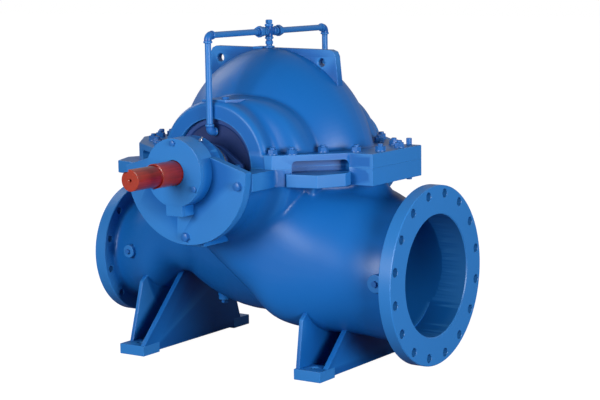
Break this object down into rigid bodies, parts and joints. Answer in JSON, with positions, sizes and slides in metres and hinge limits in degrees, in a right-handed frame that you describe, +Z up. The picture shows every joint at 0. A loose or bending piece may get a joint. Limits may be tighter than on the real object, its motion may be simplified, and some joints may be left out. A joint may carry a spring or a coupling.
{
  "type": "split case pump",
  "caption": "Horizontal split case double suction pump with bearing brackets, a flushing pipe and a shaft that turns freely.",
  "frame": {"origin": "on the ground, at the middle of the pump's footprint box", "axes": "+X towards the suction flange, -Y towards the drive end of the shaft, +Z up"},
  "size_m": [1.2, 1.247, 1.092],
  "materials": {
    "blue_paint": "satin blue enamel over cast iron",
    "dark_paint": "satin dark blue enamel",
    "red_lacquer": "clear red rust proofing lacquer over turned steel",
    "bare_steel": "machined steel",
    "bronze": "cast bronze"
  },
  "bodies": {
    "casing": {"bearing_bracket_drive": "blue_paint", "bearing_bracket_far": "blue_paint", "bearing_cover_drive": "blue_paint", "bearing_cover_far": "blue_paint", "bearing_drive": "bare_steel", "bearing_far": "bare_steel", "collar_plug_drive": "blue_paint", "collar_plug_far": "blue_paint", "flush_cross": "blue_paint", "flush_elbow_low_drive": "blue_paint", "flush_elbow_low_far": "blue_paint", "flush_elbow_top_drive": "blue_paint", "flush_elbow_top_far": "blue_paint", "flush_nipple": "blue_paint", "flush_pipe_down_drive": "blue_paint", "flush_pipe_down_far": "blue_paint", "flush_pipe_top_drive": "blue_paint", "flush_pipe_top_far": "blue_paint", "flush_plug": "blue_paint", "flush_union_drive": "blue_paint", "flush_union_far": "blue_paint", "grease_nipple_drive": "bare_steel", "grease_nipple_far": "bare_steel", "lower_casing": "blue_paint", "pin_left": "blue_paint", "pin_right": "blue_paint", "plug_discharge": "blue_paint", "plug_suction": "blue_paint", "seal_cover_drive": "dark_paint", "seal_cover_far": "dark_paint", "upper_casing": "blue_paint"},
    "rotor": {"impeller": "bronze", "shaft": "red_lacquer", "slinger_drive": "bare_steel", "slinger_far": "bare_steel"}
  },
  "joints": [
    {"name": "rotor_spin", "type": "hinge", "parent": "casing", "child": "rotor", "pos_m": [-0.01, 0.0945, 0.65], "axis": [0, 1, 0], "continuous": true}
  ]
}
